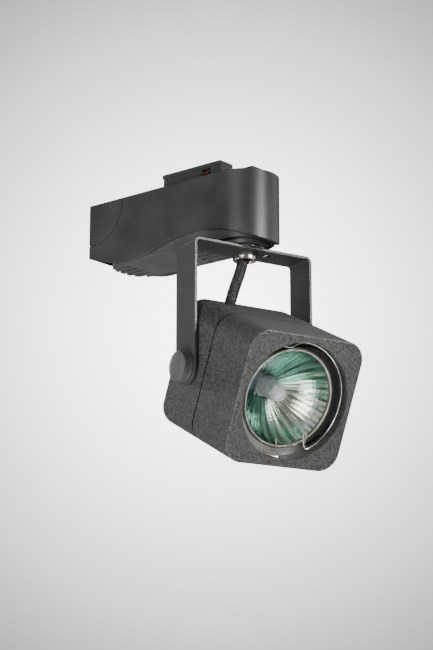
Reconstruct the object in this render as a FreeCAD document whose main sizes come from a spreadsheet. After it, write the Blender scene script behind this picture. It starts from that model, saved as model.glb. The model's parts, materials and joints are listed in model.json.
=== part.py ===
"""Track spotlight: adapter box with transformer, swivelling U bracket and square lamp head.

Millimetres, +Z up. The origin is on the pan axis, in the plane of the track's underside, and +X runs along
the track. The bracket and the head are stored turned to their rest angles.
"""

import FreeCAD, Part
import Sketcher
import math
import os
from FreeCAD import Placement, Rotation, Vector

doc = FreeCAD.newDocument("track_spotlight")
sheet = doc.addObject("Spreadsheet::Sheet", "dims")

SIZES = {
    # adapter box
    "box_left": 93, "box_half": 18, "box_drop": 38.5, "box_wall": 2, "top_gap": 1.6, "top_plate": 1.8,
    # end latch
    "latch_x": 90.9, "latch_z": 3, "latch_reach": 21.1, "latch_gap": 0.4, "latch_pin": 0.8,
    "bar_x": 76.3, "bar_z": 10.75,
    # belly cover
    "cover_half": 15.4, "cover_left": 85, "cover_corner": 12.5, "cover_base": 37, "flange_low": 30.2,
    "flange_top": 28.6, "cover_floor": 2.2, "cover_wall": 1.6, "groove_pitch": 4.9, "groove_wide": 2.1,
    "groove_deep": 1.2, "screw_y": 13.3, "screw_left": 66.5, "screw_right": 13,
    # track tongue
    "tongue_near": 12, "tongue_far": 52, "tongue_half": 4.2, "tongue_tall": 10.5, "stub_drop": 6,
    # converter board
    "board_left": 62, "board_right": 20, "board_half": 13, "board_low": 26, "board_top": 24.4,
    # swivel
    "nipple_r": 5, "nipple_bore": 4.1, "disc_r": 12.2, "disc_top": 37.2, "disc_low": 39.1, "washer_r": 10.4,
    "collar_r": 6.3, "hub_r": 8.5, "hub_top": 22, "stop_r": 14, "pan_angle": -18,
    # bracket
    "web_top": 40.3, "strip": 1.45, "arm_out": 35.65, "arm_half": 8.9, "bend_out": 3.2, "pivot_z": 106,
    # head
    "head_half": 33, "head_corner": 10.3, "head_rear": 18.9, "seam_rear": 14.25, "seam_front": 15.15,
    "head_front": 48.8, "head_wall": 2, "rear_round": 3, "front_round": 0.8, "mouth_r": 29.6, "seat_a": 40,
    "ledge_r": 27.5, "ledge_a": 36, "lip_a": 11, "post_at": 25.6, "tab_half": 3.5, "tilt_angle": 26.1,
    # pivot hardware
    "shoulder_r": 3.05, "thread_r": 2.5, "insert_r": 4, "boss_in": 27, "knob_r": 7.5, "knob_face": 41.25,
    "knob_dome": 0.7, "ring_r": 8, "ring_tall": 1.2, "spacer_out": 34.1,
    # lamp
    "rim_r": 25.3, "rim_front": 42.4, "rim_rear": 39.9, "neck_r": 8.5, "neck_a": 19, "base_rear": 4.4,
    "pin_gap": 5.33, "pin_r": 0.75, "capsule_r": 4.6, "clip_r": 29.05, "clip_a": 44.3, "clip_wire": 0.5,
    # cord
    "cord_r": 2.95, "cord_in_a": -12, "cord_in_v": -11.8, "bush_r": 4.1,
}
for row, (alias, number) in enumerate(SIZES.items(), 1):
    sheet.set(f"A{row}", "'" + alias)
    sheet.set(f"B{row}", str(number))
    sheet.setAlias(f"B{row}", alias)
doc.recompute()


class Size:
    """A number from the sheet together with the expression that it comes from."""

    def __init__(self, value, text):
        self.value, self.text = float(value), text

    def _join(self, sign, other, swap=False):
        other = other if isinstance(other, Size) else Size(other, repr(float(other)))
        a, b = (other, self) if swap else (self, other)
        value = {"+": a.value + b.value, "-": a.value - b.value, "*": a.value * b.value}[sign]
        return Size(value, f"({a.text} {sign} {b.text})")

    def __add__(self, other):
        return self._join("+", other)

    def __radd__(self, other):
        return self._join("+", other, True)

    def __sub__(self, other):
        return self._join("-", other)

    def __rsub__(self, other):
        return self._join("-", other, True)

    def __mul__(self, other):
        return self._join("*", other)

    __rmul__ = __mul__

    def __neg__(self):
        return Size(-self.value, f"(-{self.text})")

    def __float__(self):
        return self.value


class Dims:
    """D.name is the Size of a cell."""

    def __getattr__(self, alias):
        return Size(sheet.get(alias), "dims." + alias)


D = Dims()
nodes = {}
UPRIGHT = Rotation()
TO_X = Rotation(Vector(0, 1, 0), 90)
TO_Y = Rotation(Vector(1, 0, 0), -90)


# ---------------------------------------------------------------- builders

def bind(obj, prop, length):
    """Set a length, through an expression where it comes from the sheet."""
    if isinstance(length, Size):
        obj.setExpression(prop, length.text)
    else:
        setattr(obj, prop, length)


def solid(body, kind, name, at, turn=UPRIGHT, cut=False, **sizes):
    """A primitive: added to or cut from a body when one is given, otherwise a Part object of its own."""
    if body:
        obj = body.newObject("PartDesign::" + ("Subtractive" if cut else "Additive") + kind, name)
    else:
        obj = doc.addObject("Part::" + kind, name)
    for prop, length in sizes.items():
        bind(obj, prop, length)
    obj.Placement = Placement(Vector(*[float(c) for c in at]), turn)
    for axis, c in zip("xyz", at):
        if isinstance(c, Size):
            obj.setExpression("Placement.Base." + axis, c.text)
    return obj


def box(name, x, y, z, body=None, cut=False):
    """A box from its low and high ends along each axis."""
    low = (x[0], y[0], z[0])
    return solid(body, "Box", name, low, cut=cut, Length=x[1] - x[0], Width=y[1] - y[0], Height=z[1] - z[0])


def rod(name, radius, length, at, turn=UPRIGHT, body=None, cut=False):
    return solid(body, "Cylinder", name, at, turn, cut, Radius=radius, Height=length)


def hexagon(name, corner, height, at, turn=UPRIGHT):
    return solid(None, "Prism", name, at, turn, Polygon=6, Circumradius=corner, Height=height)


def minus(name, base, *tools):
    obj = doc.addObject("Part::Cut", name)
    obj.Base = base
    obj.Tool = tools[0] if len(tools) == 1 else fused(name + "_tools", *tools)
    return obj


def fused(name, *solids):
    obj = doc.addObject("Part::MultiFuse", name)
    obj.Shapes = list(solids)
    return obj


def group(name, *solids):
    """Separate solids kept apart in one object."""
    obj = doc.addObject("Part::Compound", name)
    obj.Links = list(solids)
    return obj


def own(name, shape):
    """A Part::Feature whose shape is worked out here."""
    obj = doc.addObject("Part::Feature", name)
    obj.Shape = shape
    return obj


def tube(name, radius, bore, low, high):
    """An upright tube between two heights."""
    outer = rod(name + "_outer", radius, high - low, (0, 0, low))
    return minus(name + "_tube", outer, rod(name + "_bore", bore, high - low + 2, (0, 0, low - 1)))


def node(label, obj, frame=Placement()):
    """Name a finished sub-part and set it in its frame."""
    obj.Label = label
    obj.Placement = frame.multiply(obj.Placement)
    nodes[label] = obj


def new_body(label):
    return doc.addObject("PartDesign::Body", label + "_body")


def new_sketch(body, name, role, lift):
    """An empty sketch on one of the body's base planes, lifted along that plane's normal."""
    sketch = body.newObject("Sketcher::SketchObject", name)
    base = [o for o in body.Origin.OriginFeatures if o.Role == role][0]
    sketch.AttachmentSupport = [(base, "")]
    sketch.MapMode = "FlatFace"
    sketch.AttachmentOffset = Placement(Vector(0, 0, float(lift)), UPRIGHT)
    if isinstance(lift, Size):
        sketch.setExpression("AttachmentOffset.Base.z", lift.text)
    return sketch


def pin_down(sketch, edge, end, corner):
    """Dimension one end of a sketch edge from the sketch's origin."""
    for way, value in zip(("DistanceX", "DistanceY"), corner):
        at = sketch.addConstraint(Sketcher.Constraint(way, -1, 1, edge, end, float(value)))
        if isinstance(value, Size):
            sketch.setExpression(f"Constraints[{at}]", value.text)


def outline(body, name, role, corners, lift=0):
    """A closed sketch. A corner is (x, y), or (x, y, via) where the edge leaving it is an arc through via."""
    sketch = new_sketch(body, name, role, lift)
    flat = [Vector(float(c[0]), float(c[1]), 0) for c in corners]
    count = len(corners)
    for i, corner in enumerate(corners):
        a, b = flat[i], flat[(i + 1) % count]
        if len(corner) == 3:
            via = Vector(float(corner[2][0]), float(corner[2][1]), 0)
            sketch.addGeometry(Part.Arc(a, via, b), False)
        else:
            sketch.addGeometry(Part.LineSegment(a, b), False)
    ends = []
    for i in range(count):
        forward = sketch.getPoint(i, 1).distanceToPoint(flat[i]) < 1e-6
        ends.append((1, 2) if forward else (2, 1))
    for i, corner in enumerate(corners):
        after = (i + 1) % count
        sketch.addConstraint(Sketcher.Constraint("Coincident", i, ends[i][1], after, ends[after][0]))
        pin_down(sketch, i, ends[i][0], corner)
        if len(corner) == 3 and len(corner[2]) == 3:
            at = sketch.addConstraint(Sketcher.Constraint("Radius", i, float(corner[2][2])))
            sketch.setExpression(f"Constraints[{at}]", corner[2][2].text)
    return sketch


def grow(body, kind, name, sketch, length, midplane=False, reverse=False):
    """A Pad or a Pocket of a sketch."""
    obj = body.newObject("PartDesign::" + kind, name)
    obj.Profile = sketch
    obj.Midplane = midplane
    obj.Reversed = reverse
    bind(obj, "Length", length)
    return obj


def turned(label, role, corners, line="V_Axis"):
    """A body of revolution from a half section."""
    body = new_body(label)
    sketch = outline(body, label + "_section", role, corners)
    obj = body.newObject("PartDesign::Revolution", label + "_turned")
    obj.Profile = sketch
    obj.ReferenceAxis = (sketch, [line])
    obj.Angle = 360
    return body


def fillet(body, name, radius, test):
    """Round every edge of the body so far that the test picks."""
    doc.recompute()
    tip = body.Tip
    names = [f"Edge{i}" for i, e in enumerate(tip.Shape.Edges, 1) if test(e)]
    obj = body.newObject("PartDesign::Fillet", name)
    obj.Base = (tip, names)
    bind(obj, "Radius", radius)
    return obj


def in_plane(axis, level):
    """A test for edges that lie in the plane at a level along an axis."""
    return lambda edge: all(abs(p.dot(Vector(*axis)) - float(level)) < 1e-4 for p in edge.discretize(5))


def rounded(half, corner):
    """The corners of a square with rounded corners, centred on the sketch's origin."""
    flat, mid = half - corner, half - corner * (1 - math.sqrt(0.5))
    out = []
    for x, y in ((1, -1), (1, 1), (-1, 1), (-1, -1)):
        start, end = ((half, flat), (flat, half))
        if x != y:
            start, end = end, start
        out.append((x * start[0], y * start[1], (x * mid, y * mid, corner)))
        out.append((x * end[0], y * end[1]))
    return out


def wire_run(poles, radius):
    """A round wire that follows a smooth curve guided by poles."""
    curve = Part.BSplineCurve()
    curve.buildFromPoles([Vector(*p) for p in poles], False, 3)
    start, way = curve.value(curve.FirstParameter), curve.tangent(curve.FirstParameter)[0]
    ring = Part.Wire([Part.makeCircle(radius, start, way)])
    return Part.Wire([curve.toShape()]).makePipeShell([ring], True, False)


def tube_along(name, route, radius):
    """A round tube along straight runs joined by tangent arcs, each arc as large as its two runs allow."""
    route = [Vector(*p) for p in route]
    edges, start = [], route[0]
    for before, corner, after in zip(route, route[1:], route[2:]):
        back, on = (before - corner).normalize(), (after - corner).normalize()
        half_turn = (math.pi - back.getAngle(on)) / 2
        cut = 0.45 * min(before.distanceToPoint(corner), after.distanceToPoint(corner))
        arc_r = cut / math.tan(half_turn)
        first, last = corner + back * cut, corner + on * cut
        middle = corner + (back + on).normalize() * (arc_r / math.cos(half_turn) - arc_r)
        edges += [Part.LineSegment(start, first).toShape(), Part.Arc(first, middle, last).toShape()]
        print(f"{name}: a turn of {math.degrees(2 * half_turn):.0f} degrees at radius {arc_r:.1f}")
        start = last
    edges.append(Part.LineSegment(start, route[-1]).toShape())
    path = Part.Wire(edges)
    ring = Part.Wire([Part.makeCircle(radius, route[0], route[1] - route[0])])
    tube_solid = path.makePipeShell([ring], True, False)
    share = tube_solid.Volume / (math.pi * radius**2 * path.Length)
    print(f"{name}: {path.Length:.1f} mm long, volume over section times length {share:.4f}")
    return tube_solid


def ribbon(points, thick, width, axis):
    """A bent strip. The points are its centre line, and the width runs along the axis across them."""
    line, up = [Vector(*p) for p in points], Vector(*axis)
    sides = ([], [])
    for i, p in enumerate(line):
        before = (p - line[i - 1]).normalize() if i else (line[1] - p).normalize()
        after = (line[i + 1] - p).normalize() if i < len(line) - 1 else before
        normal = up.cross(before + after).normalize()
        reach = thick / 2 / normal.dot(up.cross(before))
        sides[0].append(p + normal * reach)
        sides[1].append(p - normal * reach)
    ring = sides[0] + sides[1][::-1]
    face = Part.Face(Part.makePolygon(ring + ring[:1]))
    face.translate(up * (-width / 2))
    return face.extrude(up * width)


PAN = Rotation(Vector(0, 0, 1), float(D.pan_angle))
BRACKET = Placement(Vector(), PAN)
HEAD = Placement(Vector(0, 0, -float(D.pivot_z)), PAN.multiply(Rotation(Vector(0, 1, 0), float(D.tilt_angle))))
SCREW_SPOTS = [(-D.screw_left, D.screw_y), (-D.screw_left, -D.screw_y), (-D.screw_right, D.screw_y),
               (-D.screw_right, -D.screw_y)]
POST_SPOTS = [(D.post_at, D.post_at), (-D.post_at, D.post_at), (-D.post_at, -D.post_at), (D.post_at, -D.post_at)]
ROOF = -D.top_gap - D.top_plate


# ---------------------------------------------------------------- adapter box

# Lower edge of the side walls from the latch end: a bulge, a scooped arch and a drop to the round end.
LOWER_EDGE = [(-95, -30.6), (-78, -35.9), (-63, -37.7), (-50, -35.2), (-36, -31.5), (-22, -30.2), (-6, -31.4),
              (8, -35.0), (20, -39.2)]


def lower_edge_cut(body):
    """Trim both side walls below the wavy edge."""
    sketch = new_sketch(body, "lower_edge", "XZ_Plane", 0)
    curve = Part.BSplineCurve()
    curve.interpolate([Vector(x, z, 0) for x, z in LOWER_EDGE])
    first, last, low = LOWER_EDGE[0], LOWER_EDGE[-1], -D.box_drop - 5
    sketch.addGeometry(curve, False)
    ring = [(last[0], last[1]), (last[0], low), (first[0], low), (first[0], first[1])]
    for a, b in zip(ring, ring[1:]):
        start, end = Vector(a[0], float(a[1]), 0), Vector(b[0], float(b[1]), 0)
        sketch.addGeometry(Part.LineSegment(start, end), False)
    for i, corner in enumerate(ring[:3], 1):
        pin_down(sketch, i, 1, corner)
    pin_down(sketch, 3, 2, ring[3])
    for i, j in ((0, 1), (1, 2), (2, 3)):
        sketch.addConstraint(Sketcher.Constraint("Coincident", i, 2, j, 1))
    sketch.addConstraint(Sketcher.Constraint("Coincident", 3, 2, 0, 1))
    grow(body, "Pocket", "lower_edge_pocket", sketch, 60, midplane=True)


def adapter_housing():
    """A box closed at the top and open below, with a round end on the pan axis and room for the latch."""
    body = new_body("adapter_housing")
    top, low, inside = -D.top_gap, -D.box_drop - 2, D.box_half - D.box_wall
    box("box_block", (-D.box_left, 0), (-D.box_half, D.box_half), (low, top), body)
    rod("box_round", D.box_half, top - low, (0, 0, low), body=body)
    box("box_hollow", (-D.box_left + D.box_wall, 0), (-inside, inside), (low - 1, ROOF), body, cut=True)
    rod("box_hollow_round", inside, ROOF - low + 1, (0, 0, low - 1), body=body, cut=True)
    lower_edge_cut(body)
    # room for the latch's side plates, its end wall, its spring and its hook
    reach = D.latch_reach + D.latch_gap
    for side, start in (("near", -D.box_half - 1), ("far", inside - 0.3)):
        rod("latch_room_" + side, reach, D.box_wall + 1.3, (-D.latch_x, start, -D.latch_z), TO_Y, body, cut=True)
    end = -D.box_left + D.box_wall
    box("latch_room_end", (-D.box_left - 1, end), (-inside, inside), (-D.latch_z - reach, ROOF), body, cut=True)
    for side, start in (("near", -15.4), ("far", 6)):
        rod("knuckle_" + side, 1.9, 9.4, (-D.latch_x, start, -D.latch_z), TO_Y, body)
    rod("knuckle_hole", D.latch_pin, 32, (-D.latch_x, -16, -D.latch_z), TO_Y, body, cut=True)
    box("spring_window", (-D.box_left - 1, -88.9), (-5.5, 5.5), (ROOF - 2, 0), body, cut=True)
    box("hook_window", (-79.3, -71), (-4.2, 4.2), (ROOF - 1, 0), body, cut=True)
    slack = D.tongue_half + 0.2
    box("stub_window", (-D.tongue_far - 0.2, -D.tongue_near + 0.2), (-slack, slack), (ROOF - 1, 0), body, cut=True)
    for i, (x, y) in enumerate(SCREW_SPOTS):
        rod(f"screw_hole_{i}", 1.2, D.top_plate + 2, (x, y, ROOF - 1), body=body, cut=True)
        rod(f"screw_recess_{i}", 2.1, 1.5, (x, y, top - 0.9), body=body, cut=True)
    node("adapter_housing", body)


def cover_outline(inset):
    """The belly's plan: rounded corners at the latch end, a half circle about the pan axis at the other."""
    half, left = D.cover_half - inset, -D.cover_left + inset
    corner = D.cover_corner - inset
    x, y, mid, slant = left + corner, half - corner, corner * (1 - math.sqrt(0.5)), half * math.sqrt(0.5)
    return [(x, -half), (0, -half, (slant, -slant, half)), (half, 0, (slant, slant, half)), (0, half),
            (x, half, (left + mid, half - mid, corner)), (left, y), (left, -y, (left + mid, -half + mid, corner))]


def adapter_cover():
    """The slotted belly with its mounting flange, the swivel hub, the pan stop and the screw posts."""
    body = new_body("adapter_cover")
    base, low, top = -D.cover_base, -D.flange_low, -D.flange_top
    grow(body, "Pad", "belly", outline(body, "belly_plan", "XY_Plane", cover_outline(0), base), top - base)
    edge = D.box_half - D.box_wall - 0.1
    box("flange", (-D.box_left + D.box_wall + 0.2, 0), (-edge, edge), (low, top), body)
    rod("flange_round", edge, top - low, (0, 0, low), body=body)
    floor = base + D.cover_floor
    hollow = outline(body, "hollow_plan", "XY_Plane", cover_outline(D.cover_wall), floor)
    grow(body, "Pocket", "belly_hollow", hollow, top - floor + 1, reverse=True)
    for i in range(6):
        y = D.groove_pitch * (i - 2.5) - D.groove_wide * 0.5
        for end, x in (("left", (-86, -71.5)), ("right", (-34, -18))):
            box(f"groove_{end}_{i}", x, (y, y + D.groove_wide), (base - 1, base + D.groove_deep), body, cut=True)
    rod("hub", D.hub_r, -D.hub_top - floor + 0.5, (0, 0, floor - 0.5), body=body)
    rod("hub_bore", D.nipple_r + 0.06, 20, (0, 0, base - 1), body=body, cut=True)
    box("pan_stop", (12, 14.6), (-0.7, 0.7), (floor - 0.5, -20), body)
    for i, (x, y) in enumerate(SCREW_SPOTS):
        rod(f"screw_post_{i}", 2.4, ROOF - low, (x, y, low), body=body)
        rod(f"screw_bore_{i}", 1.1, 13, (x, y, ROOF - 12), body=body, cut=True)
    for i, (x, y) in enumerate(((-59, 10), (-59, -10), (-39, 10), (-39, -10))):
        rod(f"board_post_{i}", 2.2, -D.board_low - floor + 0.5, (x, y, floor - 0.5), body=body)
        rod(f"board_peg_{i}", 1, D.board_low - D.board_top + 1.8, (x, y, -D.board_low - 0.5), body=body)
    node("adapter_cover", body)


def cover_screws():
    screws = []
    for i, (x, y) in enumerate(SCREW_SPOTS):
        shank = rod(f"cover_shank_{i}", 1.1, 11.8, (x, y, -D.top_gap - 12.7))
        head = rod(f"cover_head_{i}", 2, 0.8, (x, y, -D.top_gap - 0.9))
        screws.append(minus(f"cover_screw_{i}", fused(f"cover_blank_{i}", shank, head),
                            box(f"cover_slot_{i}", (x - 2.2, x + 2.2), (y - 0.25, y + 0.25), (-2, 0))))
    node("cover_screws", group("cover_screw_set", *screws))


def contact_head():
    """The tongue that enters the track, on a base plate whose top bears on the track's underside."""
    body = new_body("contact_head")
    far, near, half = -D.tongue_far, -D.tongue_near, D.tongue_half
    box("head_plate", (far - 2, 14), (-11, 11), (-D.top_gap, 0), body)
    box("head_stem", (far, near), (-half, half), (-D.stub_drop, D.tongue_tall), body)
    box("head_flange", (far, near), (-half - 1, half + 1), (D.tongue_tall - 2, D.tongue_tall), body)
    deep = -D.stub_drop - 1
    box("live_pocket", (-44.3, -38.7), (1.9, 4.3), (deep, 8.2), body, cut=True)
    box("neutral_pocket", (-25.3, -19.7), (-4.3, -1.9), (deep, 8.2), body, cut=True)
    box("earth_slot", (-34.7, -33.3), (-2.1, 2.1), (deep, 9), body, cut=True)
    box("earth_pocket", (-34.7, -28.6), (-2.1, 2.1), (8.6, 12), body, cut=True)
    node("contact_head", body)


def contacts():
    """Bent copper strips: two bulge from the tongue's sides and one from its top."""
    side = [(2.6, -9), (2.6, 2.5), (6, 5), (3, 7.4)]
    live = ribbon([(-41.5, y, z) for y, z in side], 0.5, 5, (1, 0, 0))
    neutral = ribbon([(-22.5, -y, z) for y, z in side], 0.5, 5, (1, 0, 0))
    earth = ribbon([(-34, 0, -9), (-34, 0, 9.6), (-32, 0, 11.8), (-29.6, 0, 9.8)], 0.5, 3.6, (0, 1, 0))
    node("live_contact", own("live_strip", live))
    node("neutral_contact", own("neutral_strip", neutral))
    node("earth_contact", own("earth_strip", earth))


def lock_lever():
    """A quarter-round end latch: two side plates, an end wall and a cross bar for the hook."""
    body = new_body("lock_lever")
    top, left, inside = -D.top_gap, -D.box_left, D.box_half - D.box_wall
    reach, cx, cz = float(D.latch_reach), -float(D.latch_x), -float(D.latch_z)
    right = cx + math.sqrt(reach**2 - (float(top) - cz) ** 2)
    bottom = cz - math.sqrt(reach**2 - (float(left) - cx) ** 2)
    via = (cx + reach * math.cos(math.radians(-45)), cz + reach * math.sin(math.radians(-45)))
    section = outline(body, "latch_side", "XZ_Plane", [(left, top), (right, top, via), (left, bottom)])
    grow(body, "Pad", "latch_block", section, D.box_half * 2, midplane=True)
    end = left + D.box_wall
    box("latch_inside", (end, -60), (-inside, inside), (-30, 0), body, cut=True)
    box("latch_top", (left - 1, end + 1), (-inside, inside), (-D.latch_z - 2.4, 0), body, cut=True)
    rod("latch_bar", 2, inside * 2 + 0.2, (-D.bar_x, -inside - 0.1, -D.bar_z), TO_Y, body)
    box("hook_slit", (-D.bar_x - 0.6, -D.bar_x + 0.6), (-3.5, 3.5), (-14, -8), body, cut=True)
    rod("latch_eye", D.latch_pin + 0.08, 40, (-D.latch_x, -20, -D.latch_z), TO_Y, body, cut=True)
    node("lock_lever", body)
    pin = rod("latch_pin", D.latch_pin, D.box_half * 2 - 0.4, (-D.latch_x, -D.box_half + 0.2, -D.latch_z), TO_Y)
    node("lock_lever_pin", pin)


def lock_tongue():
    """A steel strip held in the latch's bar, with a hook that grips inside the track."""
    x = -float(D.bar_x)
    line = [(x, 0, -12.6), (x, 0, -8.2), (x + 1.4, 0, -3.2), (x + 1.4, 0, 4.4), (x - 2, 0, 4.4)]
    node("lock_tongue", own("hook_strip", ribbon(line, 1.2, 7, (0, 1, 0))))


def lock_spring():
    """A torsion spring around the latch's pin, one leg under the roof and one against the latch's end wall."""
    x, z, coil, wire, pitch, turns = -float(D.latch_x), -float(D.latch_z), 1.5, 0.25, 0.62, 4.75
    poles = [(x + 4.6, -1.8, float(ROOF) - wire), (x + 3, -1.8, float(ROOF) - wire - 0.3),
             (x + 1.4, -1.8, z - 1.2)]
    for i in range(int(turns * 12) + 1):
        angle = math.radians(-90 - 30 * i)
        grown = coil / (1 - (1 - math.cos(math.radians(30))) / 3)
        poles.append((x + grown * math.cos(angle), -1.8 + pitch * (i + 1) / 12, z + grown * math.sin(angle)))
    y = poles[-1][1]
    poles += [(x + 1.5, y + 0.05, z - 2), (x + 0.7, y + 0.1, z - 4.2), (x + 0.15, y + 0.1, z - 6)]
    node("lock_spring", own("latch_coil", wire_run(poles, wire)))


def converter():
    """The low-voltage converter: a board and what is soldered to it."""
    low, top, half = -D.board_low, -D.board_top, D.board_half
    plate = box("board_plate", (-D.board_left, -D.board_right), (-half, half), (low, top))
    holes = [rod(f"board_hole_{i}", 1.05, 4, (x, y, low - 1))
             for i, (x, y) in enumerate(((-59, 10), (-59, -10), (-39, 10), (-39, -10)))]
    node("transformer_board", minus("board", plate, *holes))
    ring = solid(None, "Torus", "core_ring", (-48, 0, top + 3.3), Radius1=6.5, Radius2=3.3)
    node("output_transformer", group("core", ring, rod("core_bolt", 1.6, 6.6, (-48, 0, top))))
    node("filter_capacitor", rod("capacitor", 4.5, 11.5, (-36, -7, top + 4.5), TO_X))
    node("switching_transistors", group("transistors", *[
        box(f"transistor_{i}", (x, x + 2.6), (4, 12), (top, top + 10)) for i, x in enumerate((-36, -30))]))
    node("terminal_blocks", group("blocks", box("mains_block", (-61.6, -58.2), (-8, 8), (top, top + 6.4)),
                                  box("lamp_block", (-24, -20.4), (-5, 5), (top, top + 6.4))))


def adapter_leads():
    """Insulated leads from the contacts to the board and from the board to the lamp cord."""
    top = -float(D.board_top) + 6.4
    mains = []
    for name, x, y, level, end in (("live", -41.5, 2.6, -12, 5), ("neutral", -22.5, -2.6, -14.2, -5),
                                   ("earth", -34, 0, -13, 0)):
        poles = [(x, y, -9), (x, y, -10), (x, y, level), (x - 3, y, level), (-54, end, level),
                 (-59.9, end, level), (-59.9, end, top + 2), (-59.9, end, top)]
        mains.append(own(name + "_lead", wire_run(poles, 0.7)))
    node("mains_leads", group("mains_lead_set", *mains))
    lamp = []
    for side in (1, -1):
        poles = [(-22.2, 2 * side, top), (-22.2, 2 * side, top + 3), (-21, 2 * side, -10.5), (-14, 2 * side, -9),
                 (-5, 1.2 * side, -8.4), (0, 1.1 * side, -9), (0, 1.1 * side, -11), (0, 1.1 * side, -13)]
        lamp.append(own(f"lamp_lead_{side + 1}", wire_run(poles, 0.7)))
    node("output_leads", group("output_lead_set", *lamp))


# ---------------------------------------------------------------- swivel and bracket

def bracket():
    """A U of flat steel with round arm ends on the tilt axis."""
    body = new_body("bracket")
    out, top, thick, bend = D.arm_out, -D.web_top, D.strip, D.bend_out
    inner, under, low = out - thick, top - thick, -D.pivot_z - D.arm_half
    small = bend - thick
    mo, mi = bend * (1 - math.sqrt(0.5)), small * (1 - math.sqrt(0.5))
    section = [(-out, low), (-inner, low), (-inner, under - small, (-inner + mi, under - mi, small)),
               (-inner + small, under), (inner - small, under, (inner - mi, under - mi, small)),
               (inner, under - small), (inner, low), (out, low), (out, top - bend, (out - mo, top - mo, bend)),
               (out - bend, top), (-out + bend, top, (-out + mo, top - mo, bend)), (-out, top - bend)]
    strip = outline(body, "bracket_section", "YZ_Plane", section)
    grow(body, "Pad", "bracket_strip", strip, D.arm_half * 2, midplane=True)
    r, pivot = D.arm_half, -D.pivot_z
    slant = r * math.sqrt(0.5)
    ends = [(-r, pivot, (-slant, pivot - slant, r)), (0, pivot - r, (slant, pivot - slant, r)), (r, pivot),
            (r + 1, pivot), (r + 1, low - 1), (-r - 1, low - 1), (-r - 1, pivot)]
    round_off = outline(body, "arm_end", "XZ_Plane", ends)
    grow(body, "Pocket", "arm_ends", round_off, 90, midplane=True)
    rod("pivot_holes", D.shoulder_r + 0.06, 90, (0, -45, pivot), TO_Y, body, cut=True)
    rod("nipple_hole", D.nipple_r + 0.05, 6, (0, 0, under - 2), body=body, cut=True)
    rod("web_hole", 2.5, 6, (1.2, 12.7, under - 2), body=body, cut=True)
    node("bracket", body, BRACKET)


def swivel_stack():
    """Everything threaded on the hollow nipple, from the cord collar up to the lock nut."""
    web, under = -D.web_top, -D.web_top - D.strip
    node("pan_nipple", tube("nipple", D.nipple_r, D.nipple_bore, -44.9, -16.2), BRACKET)
    hexa = hexagon("pan_hex", 6.65, under + 44.2, (0, 0, -44.2))
    node("pan_nut", minus("pan_nut_ring", hexa, rod("pan_nut_bore", D.nipple_r, 6, (0, 0, -46))), BRACKET)
    r = D.collar_r
    node("cord_collar", turned("cord_collar", "XZ_Plane", [
        (5, -44.2), (r, -44.2), (r, -45.5), (r - 0.5, -46), (r - 1.1, -46), (4.65, -45.4), (4.65, -44.9),
        (5, -44.9)]), BRACKET)
    low, n, w = -D.disc_low, D.nipple_r, D.washer_r
    node("dome_washer", turned("dome_washer", "XZ_Plane", [
        (n, web), (w, web), (w, low - 0.8, (w - 0.234, low - 0.234)), (w - 0.8, low), (n, low)]), BRACKET)
    node("turntable_disc", tube("disc", D.disc_r, n, low, -D.disc_top), BRACKET)
    washer_low = -D.hub_top + 0.2
    tab = box("stop_tab", (-D.stop_r, -4), (-1.6, 1.6), (washer_low, washer_low + 1.2))
    ring = rod("stop_ring", 7.6, 1.2, (0, 0, washer_low))
    bore = rod("stop_bore", n, 4, (0, 0, washer_low - 1))
    node("stop_washer", minus("stop_plate", fused("stop_blank", ring, tab), bore), BRACKET)
    spring_low = washer_low + 1.2
    split = box("split", (4, 8), (-0.5, 0.5), (-22, -18))
    node("spring_washer", minus("split_ring", tube("spring_ring", 7.3, n, spring_low, spring_low + 0.7), split),
         BRACKET)
    hexa = hexagon("lock_hex", 8.08, 3, (0, 0, spring_low + 0.7))
    node("lock_nut", minus("lock_nut_ring", hexa, rod("lock_nut_bore", n, 6, (0, 0, -21))), BRACKET)


def lamp_cord():
    """The braided cord, through the nipple and down in a slack curve to the bush in the head's top."""
    turn = Rotation(Vector(0, 1, 0), float(D.tilt_angle))
    entry = turn.multVec(Vector(float(D.cord_in_a), float(D.cord_in_v), float(D.head_half)))
    entry.z -= float(D.pivot_z)
    normal = turn.multVec(Vector(0, 0, 1))
    route = [(0, -0.5, -14), (0, 0.6, -25), (0, 0.2, -36), (0, -1.7, -49.5), entry + normal * 5, entry - normal * 15]
    node("lamp_cord", own("cord", tube_along("lamp_cord", route, float(D.cord_r))), BRACKET)


# ---------------------------------------------------------------- head

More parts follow.
